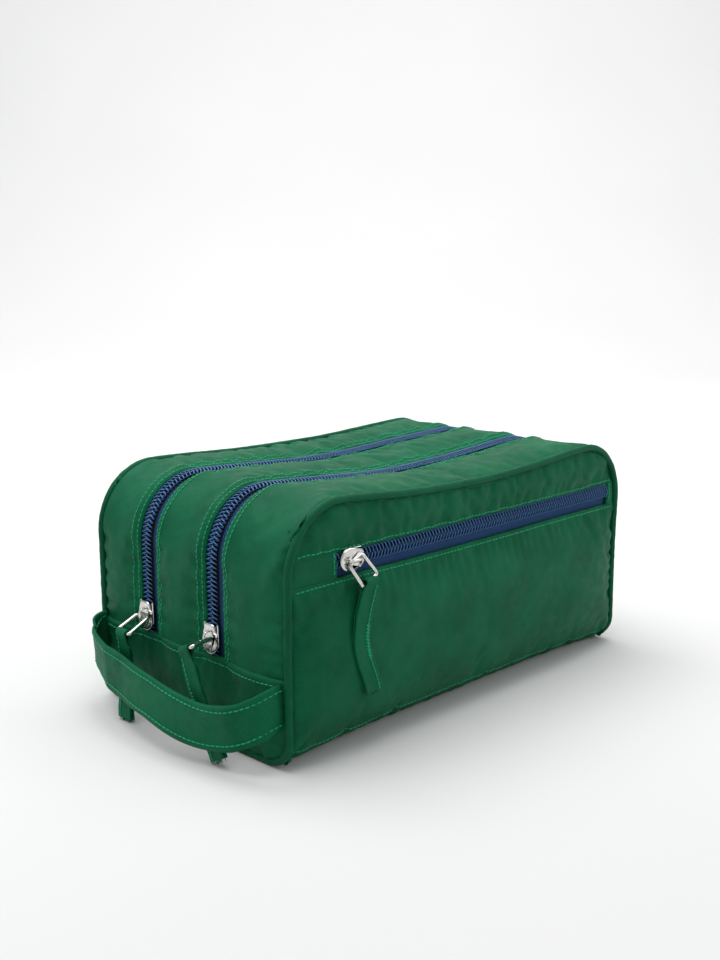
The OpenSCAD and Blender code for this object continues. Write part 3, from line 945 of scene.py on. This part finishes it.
# ---- sliders, rings and pulls
SLIDER_L, SLIDER_W = 15.5, 11.6
PLATE_T = 1.3
PLATE_Z = 1.5
WALL_Z = 0.9
CROWN_Z = PLATE_Z + PLATE_T
CROWN_L, CROWN_H, CROWN_SQUARE = 8.0, 3.2, 0.55
RING_Z = CROWN_Z + 1.2
RING_HALF, RING_BEND = 5.2, 1.7
WIRE = 1.8
WIRE_PLATING = 0.15  # what the visible wire adds to the CAD wire's radius
JOINTS = {j["name"]: j for j in frame["record"]["behaviour"]["joints"]}


def pillow(outline, levels):
    """A plate with a shaped edge: levels are pairs of (inset from the outline, height)."""
    n = len(outline)
    ahead = np.roll(outline, -1, 0) - np.roll(outline, 1, 0)
    out = unit(np.stack([ahead[:, 1], -ahead[:, 0]], -1))
    rings = []
    for inset, z in levels:
        rings.append(np.concatenate([outline - out * inset, np.full((n, 1), z)], 1))
    ids = np.arange(n * len(levels)).reshape(len(levels), n)
    faces = []
    for a, b in zip(ids, ids[1:]):
        faces += list(np.stack([a, np.roll(a, -1), np.roll(b, -1), b], -1))
    faces += [tuple(ids[0][::-1]), tuple(ids[-1])]
    return np.concatenate(rings), faces, None


def plate_outline(length, width):
    """Round nose at -X, sides drawn in towards a tail with round corners."""
    nose_r = width / 2
    nose = [(-length / 2 + nose_r + nose_r * math.cos(a), nose_r * math.sin(a))
            for a in np.linspace(1.5 * math.pi, 0.5 * math.pi, 25)]
    tail, r = width / 2 - 1.5, 2.6
    top = [(length / 2 - r + r * math.cos(a), tail - r + r * math.sin(a))
           for a in np.linspace(math.pi / 2, 0, 7)]
    sides = [(length * 0.05, width / 2 - 0.15), (length * 0.2, width / 2 - 0.7)]
    return np.array(nose + sides + top + [(x, -y) for x, y in top[::-1] + sides])[::-1]


def slider_parts():
    """A slider in its own frame: X towards the tail, Z away from the cloth."""
    across = np.array([0.0, 1.0, 0.0])
    under = -(SHELL_T + TAPE_T + 0.3)
    top = [(0.4, PLATE_Z), (0.1, PLATE_Z + 0.15), (0.0, PLATE_Z + 0.5),
           (0.12, CROWN_Z - 0.3), (0.45, CROWN_Z - 0.05), (1.3, CROWN_Z)]
    low_plate = [(1.0, under - PLATE_T), (0.3, under - PLATE_T + 0.2), (0.0, under - 0.5), (0.25, under)]
    parts = [pillow(plate_outline(SLIDER_L, SLIDER_W), top),
             pillow(plate_outline(SLIDER_L, SLIDER_W - 1), low_plate)]
    wall = ribbon(0.95, 0.9, 4)[None] * np.array([1.0, 1.5])
    x = np.linspace(-SLIDER_L / 4, SLIDER_L / 2 - 0.4, 14)
    for side in (-1, 1):
        y = side * (SLIDER_W / 2 - 0.75 - 0.25 * np.linspace(0, 1, 14) ** 2)
        path = np.stack([x, y, np.full(14, WALL_Z)], -1)
        parts.append(sweep_part(path, np.tile(across, (14, 1)), wall))
    a = np.linspace(math.pi, 0, 21)
    bow = CROWN_L / 2 * np.sign(np.cos(a)) * np.abs(np.cos(a)) ** CROWN_SQUARE
    rise = CROWN_Z - 0.2 + CROWN_H * np.sin(a) ** CROWN_SQUARE
    path = np.stack([bow, np.zeros(21), rise], -1)
    parts.append(sweep_part(path, np.tile(across, (21, 1)), ribbon(1.8, 1.0, 5)))
    return parts


def placed(parts, origin, x_axis, z_axis):
    """Carry parts from a frame of their own into the bag's."""
    turn = np.stack([x_axis, np.cross(z_axis, x_axis), z_axis])
    return [(v @ turn + origin, f, uv) for v, f, uv in parts]


def ring_part(hinge, axis, bar, slip):
    """A loop of wire with rounded corners between the crown and the pull's bar."""
    reach = bar - hinge
    far = np.linalg.norm(reach)
    down = reach / far
    hinge = hinge - axis * slip
    corners = [(0, -RING_HALF + 0.5), (0, RING_HALF - 0.5), (far, RING_HALF), (far, -RING_HALF)]
    points = []
    for k, here in enumerate(np.array(corners, float)):
        back = unit(np.array(corners[k - 1], float) - here)
        ahead = unit(np.array(corners[(k + 1) % 4], float) - here)
        for t in np.linspace(0, 1, 9):
            a, b = here + back * RING_BEND, here + ahead * RING_BEND
            points.append((1 - t)**2 * a + 2 * t * (1 - t) * here + t**2 * b)
    flat = np.array(points)
    path = hinge + flat[:, :1] * down + flat[:, 1:] * axis
    path = resample(np.concatenate([path, path[:1]]), 0.45)[:-1]
    across = np.tile(np.cross(axis, down), (len(path), 1))
    return sweep_part(path, across, circle(WIRE / 2 + WIRE_PLATING, 16), closed=True)


def pull_parts(bar, axis, outward, down, seed, length, bow, sewn, free):
    """Folded strap through the ring, its stitches and its frayed ends.

    The strap is length long and bows sideways by bow. It is narrow down to free below the ring's bar, so
    that it clears the ring, and sewn says on which side its stitches run.
    """
    down = unit(down)
    side = unit(axis - (axis @ down) * down)
    drop = np.concatenate([np.linspace(length, 5.0, 44), np.linspace(4.6, 1.4, 6)])
    turn = np.linspace(0, math.pi, 13)
    radius = WIRE / 2 + 0.25 + PULL_T / 2
    d = np.concatenate([drop, -radius * np.sin(turn), drop[::-1]])
    narrow = np.clip((drop - 1.0) / 3.5, 0, 1)
    out = PULL_GAP * narrow + radius * (1 - narrow)
    o = np.concatenate([out, radius * np.cos(turn), -out[::-1]])
    spread = np.clip((np.abs(d) - length * 0.72) / length, 0, 1)
    loose = np.clip(d / 12, 0, 1)
    o = o + np.sign(o) * spread * 1.6 + loose * [0.35 * wave((x / 9, seed, 0), 1.0, seed) for x in d]
    shift = loose * [0.7 * wave((x / 14, 4.0, seed), 1.0, seed) for x in d]
    shift += bow * np.sin(math.pi * np.clip(d / length, 0, 1)) ** 1.3
    path = bar + down * d[:, None] + outward * o[:, None] + side * shift[:, None]
    grow = np.clip((np.abs(d) - free) / 4.0, 0, 1)
    widths = PULL_NECK + (PULL_W - PULL_NECK) * np.minimum(1, grow * (3 - 2 * grow))
    cloth = sweep_part(path, np.tile(side, (len(path), 1)), np.stack([ribbon(w, PULL_T, 7) for w in widths]))
    seam = path[:len(drop)] + outward * (PULL_T / 2) + side * (sewn * (PULL_W / 2 - 2.4))
    return [cloth], pull_stitches(seam, outward, side), frayed_ends(path, outward, down, side, seed)


def pull_stitches(seam, outward, side):
    """A straight row down the pull and a zigzag bar over its middle."""
    threads = stitches(seam, np.tile(outward, (len(seam), 1)), 2.3)
    zig = resample(seam[int(len(seam) * 0.3):int(len(seam) * 0.62)], 0.8)
    for n, (a, b) in enumerate(zip(zig, zig[1:])):
        reach = side * (1.5 if n % 2 else -1.5)
        threads += stitches(np.array([a - reach, b + reach]), np.tile(outward, (2, 1)), 2.4)
    return threads


def frayed_ends(path, outward, down, side, seed):
    """Loose fibres at both cut ends of a pull."""
    t = np.linspace(0, 1, 6)[:, None]
    ends = []
    for n in range(26):
        layer = path[0] if n % 2 else path[-1]
        across = wave((n, 1.7, seed), 0.7, 5.0) * 1.3 * PULL_W / 2
        start = layer + side * float(np.clip(across, -PULL_W / 2 + 0.5, PULL_W / 2 - 0.5)) - down * 0.6
        long = 1.6 + 1.6 * abs(wave((n, 0.3, seed), 0.6, 8.0))
        bend = wave((n, 5.0, seed), 0.8, 2.0) * side + 0.8 * wave((n, 9.0, seed), 0.8, 4.0) * outward
        fibre = start + down * long * t + bend * t**2 * 1.6
        ends.append(sweep_part(fibre, np.tile(side, (6, 1)), circle(0.11, 5)))
    return ends


PULL_W, PULL_NECK, PULL_T, PULL_GAP = 10.8, 8.0, 1.0, 0.62
PULLS = {
    "front": {"length": 54.0, "bow": 1.5, "sewn": 1, "free": 6.0},
    "rear": {"length": 46.0, "bow": -1.5, "sewn": 1, "free": 6.0},
    "pocket": {"length": 55.0, "bow": 7.0, "sewn": -1, "free": 1.6},
}


def hardware():
    """Sliders, rings and fabric pulls, each on the body that moves it."""
    for z, pull in PULLS.items():
        if z == "pocket":
            x_axis, z_axis = np.array([1.0, 0, 0]), np.array([0, -1.0, 0])
        else:
            x_axis, z_axis = np.array([0.0, 0, 1]), np.array([-1.0, 0, 0])
        hinge = np.array(JOINTS[f"{z}_ring_lift"]["pos_m"]) / MM
        axis = unit(np.array(JOINTS[f"{z}_ring_lift"]["axis"], float))
        bar = np.array(JOINTS[f"{z}_tab_hang"]["pos_m"]) / MM
        slider = placed(slider_parts(), hinge - z_axis * RING_Z, x_axis, z_axis)
        slider = build(f"{z}_slider_body", slider, NICKEL, f"{z}_slider")
        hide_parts(f"{z}_zip_slider")

        cad_ring = f"{z}_zip_pull_ring"
        slip = float(((hinge + bar) / 2 - (low(cad_ring) + high(cad_ring)) / 2) @ axis)
        wire = ring_part(hinge, axis, bar, slip)
        ring = build(f"{z}_ring_wire", [wire], NICKEL, f"{z}_pull_ring")
        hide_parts(cad_ring)

        down = np.array([0, 0, -1.0])
        if z == "pocket":
            down = np.array([math.sin(math.radians(2)), 0, -1.0])
        elif z == "front":
            down = np.cross(z_axis, axis)
            down = down if down[2] < 0 else -down
        cloth, threads, ends = pull_parts(bar - axis * slip, axis, z_axis, down, len(z) * 1.7, **pull)
        tab = build(f"{z}_pull_strap", cloth, STRAP_CLOTH, f"{z}_pull_tab")
        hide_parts(f"{z}_zip_pull_tab")
        build(f"{z}_pull_stitches", threads, THREAD, f"{z}_pull_tab")
        build(f"{z}_pull_fray", ends, STRAP_CLOTH, f"{z}_pull_tab")


# ---- handle
STRAP_W, STRAP_T = 22.0, 2.0
STRAP_ROWS = 0.76  # how far out from the strap's middle its stitches run
STRAP_CREASES = (0.3, 0.5), (0.57, -0.6), (0.63, 0.8), (0.75, 0.5)  # share of the strap's way, height


def strap_middle(u):
    """Middle line of the strap from the front seam to the back seam, low in its middle and flatter behind."""
    out = -(low("handle")[0] + HALF_L) - 1.0
    t = np.clip((u - 0.5) / 0.4, 0, 1)
    flatter = 1 - 0.24 * t * t * (3 - 2 * t)
    x = -HALF_L - 0.4 - (out - 0.4) * np.sqrt(np.sin(math.pi * u)) * flatter
    y = -(HALF_W - 3.5) * np.cos(math.pi * u)
    front_z, middle_z, back_z = 32.0, 15.5, 37.0
    z = front_z * (1 - u)**2 + back_z * u**2 + 2 * u * (1 - u) * middle_z
    z -= np.where(u < 0.5, 6.4, 2.0) * np.sin(2 * math.pi * u) * np.sin(math.pi * u)
    return np.stack([x, y, z], -1)


def handle():
    """Side strap: cloth folded to the middle and sewn along both edges."""
    k = np.linspace(0, 1, 141)
    u = np.clip((1 - np.cos(math.pi * k)) / 2, 0.0004, 0.9996)
    path = strap_middle(u)
    edge_wave = np.array([0.9 * wave((q * 11, 3.0, 8.0), 1.0, 6.0) for q in k])
    calm = np.sin(math.pi * k) ** 0.6
    path[:, 0] += calm * np.array([1.1 * wave((q * 9, 6.0, 1.0), 1.0, 4.0) for q in k])
    for at, deep in STRAP_CREASES:
        path[:, 0] -= deep * np.exp(-((k - at) / 0.022) ** 2)
    x = np.linspace(-1, 1, 16)
    body = STRAP_T / 2 * (0.82 + 0.24 * np.abs(x)**6)
    body -= 0.18 * np.exp(-((np.abs(x) - STRAP_ROWS) / 0.06)**2)
    body[0] = body[-1] = STRAP_T * 0.32
    sections = []
    for w in edge_wave:
        rows = np.stack([x * (STRAP_W / 2 + w), body], -1)
        sections.append(np.concatenate([rows, (rows * [1, -1])[::-1]]))
    tilt = np.array([0.3 * wave((q * 6, 1.0, 2.0), 1.0, 3.0) for q in k]) * calm
    up = unit(np.stack([tilt, 0 * tilt, 1 + 0 * tilt], -1))
    part = sweep_part(path, up, np.array(sections))
    ob = build("side_handle", [part], STRAP_CLOTH, body=None)
    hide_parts("handle")
    ahead = unit(np.gradient(path, axis=0))
    outward = np.cross(ahead, up)
    outward = unit(np.where(outward[:, :1] > 0, -outward, outward))
    threads = []
    for sign in (-1, 1):
        for face in (1, -1):
            line = path + up * (sign * STRAP_W / 2 * STRAP_ROWS) + outward * face * (STRAP_T / 2 - 0.22)
            threads += stitches(line, outward * face, 2.9)
    sewn = build("side_handle_stitches", threads, THREAD, body=None)
    for piece in (ob, sewn):
        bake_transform(piece)


# ---- inside
INNER_GAP = 3.4  # between the pocket's backing and the front lining
ZIP_SLOT = 7.0  # half width of the linings' openings under the main zips
X_IN = HALF_L - 5.0


def inner_sheet(name, blocks):
    """One lining, made of parts of the bag's surface set inwards by a depth each."""
    parts = [sheet_part(b.points - b.normals * depth, b.normals, LINING_T, b.s, b.c) for b, depth in blocks]
    ob = build(f"{name}_cloth", parts, LINING_CLOTH)
    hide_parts(name)


def linings():
    """One lining round each compartment, open under its zip, and the pocket's backing."""
    depth = SHELL_T + TAPE_T + 0.4
    ends = 14.0
    floor = WRAP_END / 2

    def over(y0, y1):
        return GUSSET_SIDE.block(ends, PATH_END - ends, y0, y1), depth

    def around(s0, s1, deep=depth):
        return WRAP_SIDE.block(s0, s1, -X_IN, X_IN), deep

    front = [over(-HALF_W + 8, ZIP_Y["front"] - ZIP_SLOT), over(ZIP_Y["front"] + ZIP_SLOT, DIVIDER_Y - 1),
             around(10, floor - 1, depth + INNER_GAP)]
    rear = [over(DIVIDER_Y + 1, ZIP_Y["rear"] - ZIP_SLOT), over(ZIP_Y["rear"] + ZIP_SLOT, HALF_W - 5),
            around(floor + 1, WRAP_END - 8)]
    inner_sheet("front_lining", front)
    inner_sheet("rear_lining", rear)
    inner_sheet("pocket_backing", [around(8, TOP_Z - BOTTOM_R, SHELL_T + INNER_GAP)])


def divider():
    """The wall between the compartments, cut to the sagged top."""
    s = np.linspace(0, PATH_END, 400)
    line, _ = GUSSET_SIDE.at(s, np.full(400, DIVIDER_Y))
    x = np.linspace(-HALF_L + 4, HALF_L - 4, 90)
    lid = (s > TOP_Z - TOP_R) & (s < PATH_END - TOP_Z + TOP_R)
    top = np.interp(x, line[lid][:, 0], line[lid][:, 2]) - (SHELL_T + TAPE_T + 0.4) - 0.8
    foot = 3.0
    z = foot + (top - foot) * np.linspace(0, 1, 40)[:, None]
    y = DIVIDER_Y + 1.2 * np.array([[wave((a, 0, b), 40.0, 13.0) for a in x] for b in z[:, 45]])
    x = np.broadcast_to(x, z.shape)
    grid = np.stack([x, y, z], -1)
    facing = np.broadcast_to([0.0, -1.0, 0.0], grid.shape)
    wall = sheet_part(grid, facing, DIVIDER_T, z, x)
    wall = build("divider_wall", [wall], LINING_CLOTH)
    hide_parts("divider")


# ---- the studio
SWEEP_R = 1.2


def softbox(name, place, target, size, power):
    """A rectangular lamp at a place in metres, turned towards a target."""
    data = bpy.data.lights.new(name, "AREA")
    data.shape = "RECTANGLE"
    data.size, data.size_y = size
    data.energy = power
    lamp = bpy.data.objects.new(name, data)
    bpy.context.collection.objects.link(lamp)
    lamp.location = place
    look(lamp, target)


def studio():
    """Pale sweep, a large overhead softbox and weaker fills."""
    bend = np.linspace(0.1, math.pi / 2, 14)
    flat_to, top_from = 1.4, 1.4
    depth = [np.linspace(-1.8, flat_to, 12), flat_to + SWEEP_R * np.sin(bend), np.full(6, flat_to + SWEEP_R)]
    height = [np.zeros(12), SWEEP_R - SWEEP_R * np.cos(bend), np.linspace(top_from, 4.0, 6)]
    depth, height = (np.concatenate(v)[:, None, None] for v in (depth, height))
    turn = math.radians(45.6)
    fore = np.array([math.sin(turn), math.cos(turn), 0])
    side = np.array([math.cos(turn), -math.sin(turn), 0])
    up = np.array([0, 0, 1.0])
    across = np.linspace(-1.8, 1.8, 9)[None, :, None]
    grid = depth * fore + across * side + height * up
    ids = np.arange(grid.shape[0] * grid.shape[1]).reshape(grid.shape[:2])
    part = grid.reshape(-1, 3) / MM, list(quads(ids)), None
    build("studio_sweep", [part], studio_floor(), body=None)
    softbox("overhead", (-0.15, 0.25, 1.5), (0, 0, 0.05), (1.5, 1.5), 25)
    softbox("left_fill", (-1.5, 0.7, 0.9), (0, 0, 0.06), (1.2, 1.2), 5.0)
    softbox("front_fill", (0.9, -1.5, 0.8), (0, 0, 0.06), (1.2, 1.0), 8.5)
    softbox("backdrop", fore * 0.7 + up * 1.7, fore * 2.4 + up * 0.45, (3.0, 1.2), 46)
    bpy.context.scene.view_settings.view_transform = "Standard"
    room_light(0.5, 0.88)


def room_light(strength, seen_strength):
    """Even light from all round, with a paler tone where the room itself is in view."""
    world = bpy.data.worlds.new("studio")
    bpy.context.scene.world = world
    world.use_nodes = True
    tree = world.node_tree
    lit, seen = tree.nodes["Background"], tree.nodes.new("ShaderNodeBackground")
    cool, pale = (0.95, 0.97, 1.0, 1), (0.97, 0.97, 0.97, 1)
    for node, colour, power in ((lit, cool, strength), (seen, pale, seen_strength)):
        node.inputs["Color"].default_value = colour
        node.inputs["Strength"].default_value = power
    mix = tree.nodes.new("ShaderNodeMixShader")
    tree.links.new(tree.nodes.new("ShaderNodeLightPath").outputs["Is Camera Ray"], mix.inputs[0])
    tree.links.new(lit.outputs[0], mix.inputs[1])
    tree.links.new(seen.outputs[0], mix.inputs[2])
    tree.links.new(mix.outputs[0], tree.nodes["World Output"].inputs["Surface"])


studio()
outer_cloth()
topstitching()
piping()
zips()
hardware()
handle()
linings()
divider()
